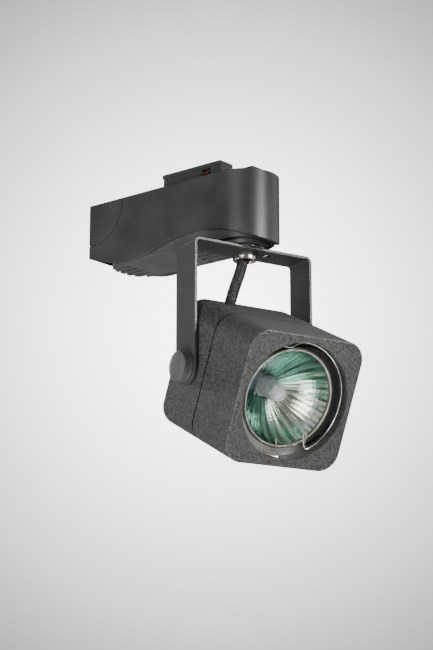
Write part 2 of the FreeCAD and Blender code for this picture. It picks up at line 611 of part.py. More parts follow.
def rear_housing():
    """The rear shell: pivot bosses, screw posts, holder posts and the cord hole."""
    body = new_body("rear_housing")
    half, wall, rear = D.head_half, D.head_wall, -D.head_rear
    full = outline(body, "rear_plan", "YZ_Plane", rounded(half, D.head_corner), rear)
    grow(body, "Pad", "rear_block", full, D.seam_rear - rear)
    fillet(body, "rear_edge", D.rear_round, in_plane((1, 0, 0), rear))
    inner = outline(body, "rear_inner", "YZ_Plane", rounded(half - wall, D.head_corner - wall), rear + wall)
    grow(body, "Pocket", "rear_hollow", inner, 60, reverse=True)
    depth = half - D.boss_in
    for side, start in (("left", -half), ("right", D.boss_in)):
        rod("pivot_boss_" + side, 6, depth, (0, start, 0), TO_Y, body)
    rod("pivot_bore", D.insert_r, half * 2 + 2, (0, -half - 1, 0), TO_Y, body, cut=True)
    for i, (y, z) in enumerate(POST_SPOTS):
        rod(f"rear_post_{i}", 4.5, D.lip_a - 0.2 - rear - 1, (rear + 1, y, z), TO_X, body)
        rod(f"rear_screw_hole_{i}", 1.65, 40, (rear - 1, y, z), TO_X, body, cut=True)
        rod(f"rear_screw_sink_{i}", 3.1, 4.2, (rear - 1, y, z), TO_X, body, cut=True)
    for i, y in enumerate((-15.5, 15.5)):
        rod(f"holder_post_{i}", 3, 7.7, (rear + 1, y, 0), TO_X, body)
        rod(f"holder_bore_{i}", 1.5, 6, (rear + 3, y, 0), TO_X, body, cut=True)
    rod("cord_hole", D.bush_r, 6, (D.cord_in_a, D.cord_in_v, half - 4), body=body, cut=True)
    node("rear_housing", body, HEAD)


def front_housing():
    """The front shell: a round mouth with a seat for the lamp ring, and a spigot into the rear shell."""
    body = new_body("front_housing")
    half, corner, seam, lip = D.head_half, D.head_corner, D.seam_front, D.lip_a
    full = outline(body, "front_plan", "YZ_Plane", rounded(half, corner), seam)
    grow(body, "Pad", "front_block", full, D.head_front - seam)
    fillet(body, "front_edge", D.front_round, in_plane((1, 0, 0), D.head_front))
    inset = D.head_wall + 0.1
    spigot = outline(body, "spigot_plan", "YZ_Plane", rounded(half - inset, corner - inset), lip)
    grow(body, "Pad", "spigot", spigot, seam - lip + 1)
    reach, tab = half - inset - 0.5, D.tab_half
    along, side = (D.seam_rear, seam + 0.5), (-tab, tab)
    for i, (y, z) in enumerate((((reach, half), side), ((-half, -reach), side), (side, (reach, half)),
                                (side, (-half, -reach)))):
        box(f"seam_tab_{i}", along, y, z, body)
    inner = outline(body, "front_inner", "YZ_Plane", rounded(half - 3.6, corner - 3.6), lip)
    grow(body, "Pocket", "front_hollow", inner, D.ledge_a - lip, reverse=True)
    rod("mouth", D.mouth_r, 20, (D.seat_a, 0, 0), TO_X, body, cut=True)
    rod("ledge_opening", D.ledge_r, 20, (D.ledge_a - 5, 0, 0), TO_X, body, cut=True)
    for i, (y, z) in enumerate(POST_SPOTS):
        rod(f"front_post_{i}", 4, D.ledge_a + 0.5 - lip, (lip, y, z), TO_X, body)
        rod(f"front_screw_bore_{i}", 1.5, 15, (lip - 1, y, z), TO_X, body, cut=True)
    node("front_housing", body, HEAD)


def housing_screws():
    screws = []
    for i, (y, z) in enumerate(POST_SPOTS):
        shank = rod(f"long_shank_{i}", 1.5, 40, (-15.7, y, z), TO_X)
        head = rod(f"long_head_{i}", 2.75, 2.4, (-18.1, y, z), TO_X)
        drive = hexagon(f"long_drive_{i}", 1.4, 2.2, (-19, y, z), TO_X)
        screws.append(minus(f"long_screw_{i}", fused(f"long_blank_{i}", shank, head), drive))
    node("housing_screws", group("long_screw_set", *screws), HEAD)


def pivot_fittings():
    """Brass inserts in the head's sides, spacers between head and arms, and the cord's bush."""
    half, inserts, spacers = D.head_half, [], []
    for side, at, gap in (("left", -half, -D.spacer_out), ("right", D.boss_in, half)):
        outer = rod("insert_outer_" + side, D.insert_r, half - D.boss_in, (0, at, 0), TO_Y)
        inserts.append(minus("insert_" + side, outer, rod("insert_bore_" + side, D.thread_r + 0.06, 10,
                                                          (0, at - 1, 0), TO_Y)))
        disc = rod("spacer_outer_" + side, D.ring_r, D.spacer_out - half, (0, gap, 0), TO_Y)
        spacers.append(minus("spacer_" + side, disc, rod("spacer_bore_" + side, D.shoulder_r + 0.06, 4,
                                                         (0, gap - 1, 0), TO_Y)))
    node("pivot_inserts", group("insert_pair", *inserts), HEAD)
    node("pivot_spacers", group("spacer_pair", *spacers), HEAD)
    at, wall = (D.cord_in_a, D.cord_in_v), half - D.head_wall
    barrel = rod("bush_barrel", D.bush_r, D.head_wall, (*at, wall))
    flange = rod("bush_flange", D.bush_r + 0.6, 1.2, (*at, wall - 1.2))
    bore = rod("bush_bore", D.bush_r - 0.6, 6, (*at, wall - 3))
    node("cord_bush", minus("bush", fused("bush_blank", barrel, flange), bore), HEAD)


def lamp_ring():
    """An aluminium ring on the mouth's seat, with a lip that the lamp's rim rests on."""
    rear, r, seat = D.rim_rear, D.rim_r, D.seat_a
    node("lamp_ring", turned("lamp_ring", "XY_Plane", [
        (rear - 0.8, r - 0.85), (rear, r - 0.85), (rear, r + 0.15), (seat + 0.8, r + 0.15),
        (seat + 0.8, D.mouth_r - 0.2), (seat, D.mouth_r - 0.2), (seat, r + 1.2), (rear - 0.8, r + 1.2)],
        "H_Axis"), HEAD)


def lamp():
    """A dichroic reflector lamp: glass reflector with its base, front glass, capsule and pins."""
    r, front, rear, neck = D.rim_r, D.rim_front, D.rim_rear, D.neck_a
    body = new_body("lamp_reflector")
    section = outline(body, "reflector_section", "XY_Plane", [
        (neck, 0), (neck, D.neck_r, (29.5, 18.6)), (rear, r - 1), (rear, r), (front, r), (front, r - 0.6),
        (front - 1.6, r - 0.6), (front - 1.6, r - 1.6, (31, 18.2)), (neck + 2.2, 6), (neck + 2.2, 0)])
    revolve = body.newObject("PartDesign::Revolution", "reflector_turned")
    revolve.Profile = section
    revolve.ReferenceAxis = (section, ["H_Axis"])
    revolve.Angle = 360
    base = D.base_rear
    box("lamp_base", (base, neck + 1), (-8, 8), (-5.5, 5.5), body)
    rod("capsule_socket", D.capsule_r + 0.1, 6, (neck - 1, 0, 0), TO_X, body, cut=True)
    for side in (-0.5, 0.5):
        rod(f"pin_socket_{int(side + 1)}", D.pin_r, 7, (base - 1, D.pin_gap * side, 0), TO_X, body, cut=True)
    node("lamp_reflector", body, HEAD)
    node("lamp_glass", rod("front_glass", r - 0.65, 1.4, (front - 1.55, 0, 0), TO_X), HEAD)
    c, nose = D.capsule_r, neck + 12.5
    node("lamp_capsule", turned("lamp_capsule", "XY_Plane", [
        (neck - 0.9, 0), (neck - 0.9, c), (nose, c, (nose + c * math.sqrt(0.5), c * math.sqrt(0.5), c)),
        (nose + c, 0)], "H_Axis"), HEAD)
    node("lamp_pins", group("pin_pair", *[
        rod(f"pin_{int(side + 1)}", D.pin_r, 13, (base - 7.5, D.pin_gap * side, 0), TO_X)
        for side in (-0.5, 0.5)]), HEAD)


def lamp_clip():
    """A spring wire around the mouth's wall. Its two ends and a kink reach in over the lamp's glass."""
    a, r, wire = float(D.clip_a), float(D.clip_r) - 0.02, float(D.clip_wire)
    glass = float(D.rim_front) - 0.15 + wire

    def around(start, stop, step=10):
        count = max(1, round(abs(stop - start) / step))
        return [(a, 1.005 * r * math.cos(math.radians(start + (stop - start) * i / count)),
                 1.005 * r * math.sin(math.radians(start + (stop - start) * i / count))) for i in range(count + 1)]

    poles = [(glass, -1.7, -20.4), (glass, -1.3, -22), (glass + 0.4, -0.4, -25.4), (a - 0.2, 0.9, -28.2),
             (a, 1.2, -29.0), (a, -0.8, -29.3)]
    poles += around(-100, -236)
    poles += [(a, -13.2, 26.1), (a, -9.8, 25.2), (a, -6.6, 25.6), (a, -4.2, 27.7), (a, -1.6, 28.9)]
    poles += around(84, -44)
    poles += [(a, 17.6, -22.9), (a, 15.8, -23.9), (a - 0.3, 14.6, -22.4), (glass + 0.3, 13.6, -18.6),
              (glass, 13.1, -16), (glass, 13.4, -14.8), (glass, 14.5, -14.9), (glass, 15, -16.2),
              (glass + 0.1, 15.1, -18.6), (glass + 0.3, 15.2, -20.6)]
    node("lamp_clip", own("clip_wire_run", wire_run(poles, wire)), HEAD)


def lamp_socket():
    """The ceramic holder on its steel strap, the screws that fix the strap and the leads from the cord."""
    base, half, zero = D.base_rear, D.pin_gap * 0.5, 0
    block = box("holder_block", (-9, base - 0.1), (-9, 9), (-5, 5))
    sockets = [rod(f"holder_socket_{i}", D.pin_r + 0.05, 9, (base - 8, y, zero), TO_X)
               for i, y in enumerate((-half, half))]
    node("lamp_holder", minus("holder", block, *sockets), HEAD)
    strap = box("strap_plate", (-10.2, -9), (-19, 19), (-4.5, 4.5))
    holes = [rod(f"strap_hole_{i}", 1.6, 4, (-12, y, 0), TO_X) for i, y in enumerate((-15.5, 15.5))]
    node("holder_bracket", minus("strap", strap, *holes), HEAD)
    screws = []
    for i, y in enumerate((-15.5, 15.5)):
        shank = rod(f"strap_shank_{i}", 1.5, 6.5, (-15.5, y, 0), TO_X)
        head = rod(f"strap_head_{i}", 2.75, 2, (-9, y, 0), TO_X)
        slot = box(f"strap_slot_{i}", (-7.8, -6), (y - 3, y + 3), (-0.4, 0.4))
        screws.append(minus(f"strap_screw_{i}", fused(f"strap_blank_{i}", shank, head), slot))
    node("holder_screws", group("strap_screw_set", *screws), HEAD)
    leads = []
    for side in (1, -1):
        poles = [(-12 + side, -11.8, 18), (-12 + side, -11.8, 15), (-10 + side, -11, 10.5), (-4 + 2 * side, -7, 8.5),
                 (-3 + 2 * side, -3.6, 8), (-3 + 2 * side, -3.4, 5)]
        leads.append(own(f"head_lead_{side + 1}", wire_run(poles, 0.7)))
    node("lamp_leads", group("head_lead_pair", *leads), HEAD)


# ---------------------------------------------------------------- thumb screws

def thumb_screw(side, way):
    """A knob with its washer and stud on one end of the tilt axis: way is +1 or -1."""
    washer_in = D.arm_out + 0.1
    washer_out, face, r = washer_in + D.ring_tall, D.knob_face, D.knob_r
    edge = face - D.knob_dome
    top = face - 1.6
    node(side + "_knob", turned(side + "_knob", "XY_Plane", [
        (D.thread_r, way * washer_out), (r, way * washer_out), (r, way * edge, (r * 0.6, way * (face - 0.2))),
        (1.2, way * face), (0, way * face), (0, way * top), (D.thread_r, way * top)]), HEAD)
    node(side + "_knob_washer", turned(side + "_knob_washer", "XY_Plane", [
        (D.shoulder_r, way * washer_in), (D.ring_r, way * washer_in), (D.ring_r, way * washer_out),
        (D.shoulder_r, way * washer_out)]), HEAD)
    half = D.head_half
    node(side + "_knob_stud", turned(side + "_knob_stud", "XY_Plane", [
        (0, way * (D.boss_in + 1)), (D.thread_r, way * (D.boss_in + 1)), (D.thread_r, way * (half + 0.1)),
        (D.shoulder_r, way * (half + 0.1)), (D.shoulder_r, way * washer_out), (D.thread_r, way * washer_out),
        (D.thread_r, way * (face - 1.6)), (0, way * (face - 1.6))]), HEAD)


adapter_housing()
adapter_cover()
cover_screws()
contact_head()
contacts()
lock_lever()
lock_tongue()
lock_spring()
converter()
adapter_leads()
bracket()
swivel_stack()
lamp_cord()
rear_housing()
front_housing()
housing_screws()
pivot_fittings()
lamp_ring()
lamp()
lamp_clip()
lamp_socket()
thumb_screw("left", -1)
thumb_screw("right", 1)

doc.recompute()
failed = [f"{obj.Name} {obj.State}" for obj in doc.Objects if "Invalid" in obj.State or "Error" in obj.State]
if failed:
    raise RuntimeError("did not compute: " + ", ".join(failed))
os.makedirs("parts", exist_ok=True)
for label, obj in nodes.items():
    shape = obj.Shape
    if shape.isNull() or not shape.isValid() or not shape.Solids:
        raise RuntimeError(f"{label} has no valid solid")
    shape.exportStep(f"parts/{label}.step")
    b = shape.BoundBox
    print(f"{label}: {len(shape.Solids)} solids, {shape.Volume:.0f} mm3, x {b.XMin:.1f} {b.XMax:.1f}, "
          f"y {b.YMin:.1f} {b.YMax:.1f}, z {b.ZMin:.1f} {b.ZMax:.1f}")
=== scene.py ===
"""Track spotlight: the looks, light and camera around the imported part. Metres, in the part's own frame."""

import json
import math
import random

import bmesh
import bpy
from mathutils import Matrix, Vector


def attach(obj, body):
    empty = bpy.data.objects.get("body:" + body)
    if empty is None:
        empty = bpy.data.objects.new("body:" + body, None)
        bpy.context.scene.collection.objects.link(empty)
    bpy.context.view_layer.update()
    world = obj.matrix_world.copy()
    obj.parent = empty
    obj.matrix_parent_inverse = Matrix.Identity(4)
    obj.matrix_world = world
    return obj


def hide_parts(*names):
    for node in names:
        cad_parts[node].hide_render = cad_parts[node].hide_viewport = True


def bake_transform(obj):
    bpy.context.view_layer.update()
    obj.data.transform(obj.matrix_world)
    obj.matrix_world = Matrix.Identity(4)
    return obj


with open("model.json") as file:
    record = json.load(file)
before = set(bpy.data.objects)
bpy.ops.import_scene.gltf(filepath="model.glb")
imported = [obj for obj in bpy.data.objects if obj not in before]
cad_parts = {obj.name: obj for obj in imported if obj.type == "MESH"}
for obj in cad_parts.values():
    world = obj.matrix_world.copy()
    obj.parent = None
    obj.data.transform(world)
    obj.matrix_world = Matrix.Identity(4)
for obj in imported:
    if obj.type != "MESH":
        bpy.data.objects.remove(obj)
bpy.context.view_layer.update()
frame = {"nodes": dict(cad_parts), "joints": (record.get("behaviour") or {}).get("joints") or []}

MM = 0.001
PAN_REST, TILT_REST = -18, 26.1
JOINTS = {joint["name"]: joint for joint in frame["joints"]}
PIVOT = Vector(JOINTS["tilt"]["pos_m"])
BRACKET = Matrix.Rotation(math.radians(PAN_REST), 4, "Z")
HEAD = Matrix.Translation(PIVOT) @ BRACKET @ Matrix.Rotation(math.radians(TILT_REST), 4, "Y")
BEAM = HEAD.to_3x3() @ Vector((1, 0, 0))
# Towards the bottom of the lamp ring, where its painted highlight lies.
RING_DOWN = HEAD.to_3x3() @ Vector((0, -0.45, -0.9))


# ---------------------------------------------------------------- material building

def add_node(tree, kind, inputs=None, **settings):
    """A node in a tree, with its settings, and values or other nodes' outputs on its sockets."""
    made = tree.nodes.new(kind)
    for name, value in settings.items():
        setattr(made, name, value)
    for name, value in (inputs or {}).items():
        if isinstance(value, bpy.types.NodeSocket):
            tree.links.new(value, made.inputs[name])
        else:
            made.inputs[name].default_value = value
    return made


class Look:
    """A node material around one Principled shader, with short calls for what the looks share."""

    def __init__(self, name, color, rough, metal=0.0, **sockets):
        self.material = bpy.data.materials.new(name)
        self.material.use_nodes = True
        self.tree = self.material.node_tree
        self.shader = self.tree.nodes["Principled BSDF"]
        self.color = (*color, 1)
        self.rough = rough
        self.set("Base Color", self.color)
        self.set("Roughness", rough)
        self.set("Metallic", metal)
        for socket, value in sockets.items():
            self.set(socket.replace("_", " "), value)
        self.place = self.add("ShaderNodeTexCoord").outputs["Object"]

    def set(self, socket, value):
        """Put a value, or another node's output, on one of the shader's sockets."""
        if isinstance(value, bpy.types.NodeSocket):
            self.tree.links.new(value, self.shader.inputs[socket])
        else:
            self.shader.inputs[socket].default_value = value

    def add(self, kind, inputs=None, **settings):
        return add_node(self.tree, kind, inputs, **settings)

    def vector(self, operation, first, second=None):
        """A vector calculation, as its node."""
        inputs = {0: first} if second is None else {0: first, 1: tuple(second)}
        return self.add("ShaderNodeVectorMath", inputs, operation=operation)

    def number(self, operation, first, second=None):
        """The result of a calculation on one or two numbers."""
        inputs = {0: first} if second is None else {0: first, 1: second}
        return self.add("ShaderNodeMath", inputs, operation=operation).outputs[0]

    def noise(self, scale, detail=2.0, rough=0.5, place=None):
        """Smooth random patches; scale is their number in a metre."""
        inputs = {"Vector": place or self.place, "Scale": scale, "Detail": detail, "Roughness": rough}
        return self.add("ShaderNodeTexNoise", inputs).outputs["Fac"]

    def cells(self, scale):
        """Packed round cells, by the distance from each one's middle."""
        inputs = {"Vector": self.place, "Scale": scale}
        return self.add("ShaderNodeTexVoronoi", inputs, feature="F1").outputs["Distance"]

    def span(self, value, low, high, start=0.3, end=0.7):
        """Map a 0 to 1 pattern onto a range of numbers."""
        inputs = {"Value": value, "From Min": start, "From Max": end, "To Min": low, "To Max": high}
        return self.add("ShaderNodeMapRange", inputs).outputs["Result"]

    def ramp(self, value, *stops):
        """A colour read from (position, colour) stops by a 0 to 1 value."""
        made = self.add("ShaderNodeValToRGB", {"Fac": value})
        slots = made.color_ramp.elements
        while len(slots) < len(stops):
            slots.new(1)
        for slot, (at, color) in zip(slots, stops):
            slot.position = at
            slot.color = (*color, 1)
        return made.outputs["Color"]

    def from_head_axis(self):
        """Distance in metres from the line along which the head shines."""
        across = self.vector("CROSS_PRODUCT", self.from_pivot(), BEAM)
        return self.vector("LENGTH", across.outputs[0]).outputs["Value"]

    def from_pivot(self):
        """Position measured from the middle of the tilt axis."""
        return self.vector("SUBTRACT", self.place, PIVOT).outputs[0]

    def reach(self, way):
        """Distance in metres from the tilt axis along a direction."""
        return self.vector("DOT_PRODUCT", self.from_pivot(), way).outputs["Value"]

    def blend(self, share, low, high):
        """A colour between two, by a share from 0 to 1."""
        made = self.add("ShaderNodeMix", {"Factor": share}, data_type="RGBA")
        for slot, color in ((6, low), (7, high)):
            if isinstance(color, bpy.types.NodeSocket):
                self.tree.links.new(color, made.inputs[slot])
            else:
                made.inputs[slot].default_value = (*color, 1)
        return made.outputs[2]

    def bump(self, *layers, soft_edge=0.0):
        """Stack bump layers, each (height, strength, depth in metres), over edges softened by a radius."""
        normal = None
        if soft_edge:
            normal = self.add("ShaderNodeBevel", {"Radius": soft_edge}, samples=6).outputs["Normal"]
        for height, strength, depth in layers:
            inputs = {"Height": height, "Strength": strength, "Distance": depth}
            if normal:
                inputs["Normal"] = normal
            normal = self.add("ShaderNodeBump", inputs).outputs["Normal"]
        self.set("Normal", normal)

    def vary(self, pattern, shade=0.2, rough=0.08):
        """Let a pattern change the colour's brightness and the roughness by these shares."""
        dark = tuple(c * (1 - shade) for c in self.color[:3])
        light = tuple(min(1, c * (1 + shade)) for c in self.color[:3])
        self.set("Base Color", self.ramp(pattern, (0.3, dark), (0.7, light)))
        self.set("Roughness", self.span(pattern, max(0.02, self.rough - rough), min(1, self.rough + rough)))


def powder_coat(name, color, rough, grain, depth, speckle, edge=0.0004):
    """Baked fine-texture paint: packed grains a fraction of a millimetre across."""
    look = Look(name, color, rough)
    grains = look.cells(grain)
    fine = look.noise(grain, 2, 0.6)
    dark = tuple(c / speckle for c in color)
    light = tuple(c * speckle for c in color)
    look.set("Base Color", look.ramp(fine, (0.38, dark), (0.62, light)))
    look.set("Roughness", look.span(fine, rough - 0.1, rough + 0.1))
    look.bump((grains, 0.6, depth), (fine, 0.8, depth), soft_edge=edge)
    return look


# Where the head coat's painted shade, in the mouth's bore and in the seam, gives way to the coat (metres).
MOUTH_EDGE = (0.0291, 0.0298)
MOUTH_START = (0.017, 0.018)
SEAM_AT, SEAM_HALF = 0.0147, (0.00044, 0.0005)


def head_coat():
    """The head's coat, with painted shade making it almost black in the mouth's bore and in the seam between
    the housings.
    """
    look = powder_coat("head_powder_coat", (0.019, 0.019, 0.0185), 0.42, 1250, 0.0004, 3.0, 0.00025)
    coat = look.shader.inputs["Base Color"].links[0].from_socket
    beyond_bore = look.span(look.from_head_axis(), 0, 1, *MOUTH_EDGE)
    behind = look.span(look.reach(BEAM), 1, 0, *MOUTH_START)
    off_seam = look.number("ABSOLUTE", look.number("SUBTRACT", look.reach(BEAM), SEAM_AT))
    clear_of_seam = look.span(off_seam, 0, 1, *SEAM_HALF)
    # Painted shade: almost black and nearly without gloss in the mouth's bore and in the seam's groove, where
    # shade falls.
    outside_painted_shade = look.number("MULTIPLY", look.number("MAXIMUM", beyond_bore, behind), clear_of_seam)
    look.set("Base Color", look.blend(outside_painted_shade, (0.003, 0.003, 0.003), coat))
    look.set("Specular IOR Level", look.span(outside_painted_shade, 0.05, 0.42, 0, 1))
    return look.material


def moulded(name, color, rough, grain=2600, depth=0.00003, **sockets):
    """Injection moulding: very fine spark texture, slow gloss change and faint handling marks."""
    look = Look(name, color, rough, **sockets)
    spark = look.noise(grain, 3, 0.6)
    slow = look.noise(45, 3)
    scratch = look.add("ShaderNodeMapping", {"Vector": look.place, "Scale": (1, 8, 30)}).outputs["Vector"]
    marks = look.noise(60, 6, 0.7, scratch)
    look.vary(slow, 0.25, 0.06)
    look.bump((spark, 0.35, depth), (marks, 0.08, depth), soft_edge=0.00035)
    return look.material


def metal(name, color, rough, lay=(1, 1, 1), wear=0.12):
    """Bare or plated metal with fine lay lines, a few dull spots and small changes of gloss."""
    look = Look(name, color, rough, 1.0)
    along = look.add("ShaderNodeMapping", {"Vector": look.place, "Scale": lay}).outputs["Vector"]
    lines = look.noise(900, 4, 0.7, along)
    dull = look.noise(220, 5, 0.65)
    look.set("Base Color", look.ramp(dull, (0.35, tuple(c * (1 - wear * 2) for c in color)), (0.6, color)))
    look.set("Roughness", look.span(lines, rough * 0.7, min(1, rough * 1.5)))
    look.bump((lines, 0.25, 0.00002), (dull, 0.1, 0.00003))
    return look.material


def spun_ring(name, color, rough):
    """Turned aluminium, rings about the head's axis, with a painted highlight making it bright along the bottom
    and painted shade making it dark elsewhere.
    """
    look = Look(name, color, rough, 1.0)
    inputs = {"W": look.from_head_axis(), "Scale": 6000.0, "Detail": 3.0}
    rings = look.add("ShaderNodeTexNoise", inputs, noise_dimensions="1D").outputs["Fac"]
    dull = look.noise(180, 4)
    look.set("Roughness", look.span(rings, rough * 0.6, rough * 1.6))
    bare = look.ramp(dull, (0.3, tuple(c * 0.75 for c in color)), (0.65, color))
    # Painted light: the ring's bottom keeps the bright metal as a painted highlight, and the rest is painted
    # shade.
    low = look.span(look.reach(RING_DOWN), 0, 1, 0.011, 0.020)
    look.set("Base Color", look.blend(low, (0.03, 0.028, 0.024), bare))
    look.bump((rings, 0.4, 0.00003))
    return look.material


def clear(name, color, rough, ior=1.46, **sockets):
    """Glass with faint dust and smears on its surface."""
    look = Look(name, color, rough, Transmission_Weight=1.0, IOR=ior, **sockets)
    smears = look.noise(120, 5, 0.7)
    look.set("Roughness", look.span(smears, rough, rough + 0.03, 0.5, 0.8))
    look.bump((look.noise(60, 2), 0.03, 0.0001))
    return look.material


def plain_metals():
    """The looks of the small metal parts."""
    return {
        "nickel": metal("nickel_plate", (0.86, 0.82, 0.75), 0.16),
        "steel": metal("zinc_steel", (0.55, 0.56, 0.58), 0.32, (1, 1, 6)),
        "spring": metal("spring_steel", (0.72, 0.68, 0.6), 0.22, (3, 3, 1)),
        "copper": metal("copper_alloy", (0.85, 0.48, 0.3), 0.3, (1, 6, 1)),
        "brass": metal("turned_brass", (0.83, 0.64, 0.3), 0.28, (1, 5, 5)),
    }


LOOKS = {
    "head": head_coat(),
    "housing": moulded("adapter_moulding", (0.026, 0.026, 0.026), 0.42, Specular_IOR_Level=0.32),
    "belly": moulded("belly_moulding", (0.04, 0.04, 0.04), 0.45, 2200, 0.00004, Specular_IOR_Level=0.4),
    "latch": moulded("latch_moulding", (0.021, 0.021, 0.022), 0.48),
    "tongue": moulded("tongue_moulding", (0.03, 0.03, 0.032), 0.5),
    "bracket": powder_coat("bracket_paint", (0.026, 0.026, 0.026), 0.45, 2600, 0.00002, 1.3).material,
    "knob": moulded("knob_moulding", (0.06, 0.06, 0.06), 0.25, 1800, 0.00003),
    "disc": moulded("acetal_disc", (0.05, 0.05, 0.053), 0.4),
    "nylon": moulded("black_nylon", (0.03, 0.03, 0.03), 0.5),
    "ceramic": moulded("white_ceramic", (0.8, 0.78, 0.72), 0.4, 1500, 0.00003),
    "board": moulded("circuit_board", (0.03, 0.16, 0.06), 0.45, 900, 0.00003),
    "core": moulded("wound_core", (0.5, 0.24, 0.07), 0.3, 1200, 0.0002),
    "parts": moulded("component_bodies", (0.03, 0.03, 0.035), 0.4),
    "terminals": moulded("terminal_moulding", (0.06, 0.25, 0.1), 0.45),
    "silicone": moulded("silicone_lead", (0.7, 0.67, 0.62), 0.6, Sheen_Weight=0.2),
    "leads": moulded("lead_insulation", (0.12, 0.13, 0.16), 0.45),
    "ring": spun_ring("spun_aluminium", (0.92, 0.9, 0.85), 0.3),
    "glass": clear("front_glass", (0.98, 1.0, 0.99), 0.0, 1.03, Coat_Weight=1.0, Coat_Roughness=0.02),
    **plain_metals(),
}

CARRIED_OVER = {
    "head": ("rear_housing", "front_housing"),
    "housing": ("adapter_housing",),
    "belly": ("adapter_cover",),
    "latch": ("lock_lever",),
    "tongue": ("contact_head",),
    "bracket": ("bracket", "lock_lever_pin"),
    "knob": ("left_knob", "left_knob_washer", "right_knob", "right_knob_washer"),
    "disc": ("turntable_disc",),
    "nylon": ("pivot_spacers", "cord_bush"),
    "nickel": ("pan_nipple", "pan_nut", "cord_collar", "dome_washer"),
    "steel": ("cover_screws", "stop_washer", "lock_nut", "housing_screws", "lamp_pins",
              "holder_bracket", "holder_screws", "left_knob_stud", "right_knob_stud"),
    "spring": ("lock_spring", "lock_tongue", "spring_washer", "lamp_clip"),
    "copper": ("live_contact", "neutral_contact", "earth_contact"),
    "brass": ("pivot_inserts",),
    "ceramic": ("lamp_holder",),
    "board": ("transformer_board",),
    "core": ("output_transformer",),
    "parts": ("filter_capacitor", "switching_transistors"),
    "terminals": ("terminal_blocks",),
    "silicone": ("output_leads", "lamp_leads"),
    "leads": ("mains_leads",),
    "ring": ("lamp_ring",),
    "glass": ("lamp_glass",),
}


def dress_carried_over():
    """Give every CAD node that stays in view its look."""
    for look, names in CARRIED_OVER.items():
        for name in names:
            for slot in frame["nodes"][name].material_slots:
                slot.material = LOOKS[look]


dress_carried_over()


# ---------------------------------------------------------------- mesh building

def piece(name, points, faces, material, smooth=True, place=Matrix.Identity(4)):
    """A mesh object from points in millimetres, set by a matrix into the part's frame."""
    mesh = bpy.data.meshes.new(name)
    mesh.from_pydata([place @ (Vector(p) * MM) for p in points], [], faces)
    mesh.validate()
    mesh.update()
    mesh.polygons.foreach_set("use_smooth", [smooth] * len(mesh.polygons))
    mesh.materials.append(material)
    made = bpy.data.objects.new(name, mesh)
    bpy.context.scene.collection.objects.link(made)
    return made


def join(name, *pieces):
    """Make several mesh objects one."""
    with bpy.context.temp_override(active_object=pieces[0], selected_editable_objects=list(pieces),
                                   selected_objects=list(pieces), object=pieces[0]):
        bpy.ops.object.join()
    pieces[0].name = pieces[0].data.name = name
    return pieces[0]


def revolved(profile, sides, closed=True):
    """Points and faces of a profile of (along, radius) turned about the head's axis of view."""
    points, faces, count = [], [], len(profile)
    for i in range(sides):
        turn = 2 * math.pi * i / sides
        points += [(a, r * math.cos(turn), r * math.sin(turn)) for a, r in profile]
    for i in range(sides):
        for k in range(count if closed else count - 1):
            j, n = (i + 1) % sides, (k + 1) % count
            faces.append((i * count + k, i * count + n, j * count + n, j * count + k))
    return points, faces


# ---------------------------------------------------------------- lamp

RIM_R, RIM_FRONT, RIM_REAR, NECK_A, NECK_R = 25.3, 42.4, 39.9, 19, 8.5
BOWL_FRONT, BOWL_R, BOWL_NECK, BOWL_NECK_R = 40.7, 23.7, 21.2, 6.0
FACET_POINTS = 9


def bowl_radius(a):
    """The reflecting bowl's radius at a distance along the axis, from its neck to its mouth."""
    along = a - BOWL_NECK
    return BOWL_NECK_R + 1.2449 * along - 0.0349 * along * (a - 31)


def dichroic_look():
    """The faceted mirror coat by tone: pale blue-grey, dark teal, green, and warm white at the top; the warm
    white and the pale blue-grey are painted reflections, laid on the bowl's two flanks by each facet's place
    around it.
    """
    look = Look("dichroic_coat", (0.3, 0.7, 0.6), 0.12, 1.0)
    facet = look.add("ShaderNodeAttribute", attribute_name="facet", attribute_type="GEOMETRY").outputs["Color"]
    parts = look.add("ShaderNodeSeparateColor", {"Color": facet}).outputs
    tint_and_reflection = look.ramp(parts["Red"], (0.0, (0.62, 0.70, 0.76)), (0.14, (0.10, 0.19, 0.22)),
                     (0.3, (0.09, 0.38, 0.28)), (0.5, (0.62, 0.76, 0.62)), (0.75, (1.0, 0.95, 0.80)))
    look.set("Base Color", tint_and_reflection)
    look.set("Roughness", look.span(parts["Green"], 0.12, 0.30, 0, 1))
    look.bump((look.noise(1800, 3), 0.1, 0.00002))
    return look.material


def reflector_glass_look():
    """The lamp's outer glass: dark, pressed, and passing only a little light."""
    look = Look("pressed_glass", (0.12, 0.11, 0.07), 0.14, Transmission_Weight=0.12, IOR=1.5)
    look.vary(look.noise(90, 3), 0.12, 0.05)
    look.bump((look.noise(300, 3), 0.15, 0.0001))
    return look.material


def rim_line_look():
    """The ground edge of the front glass, milky where it meets the reflector."""
    look = Look("ground_glass_edge", (0.86, 0.9, 0.84), 0.25, Transmission_Weight=0.2, IOR=1.5,
                Specular_IOR_Level=0.9)
    look.vary(look.noise(260, 3), 0.25, 0.1)
    look.bump((look.noise(900, 2), 0.2, 0.00008))
    return look.material


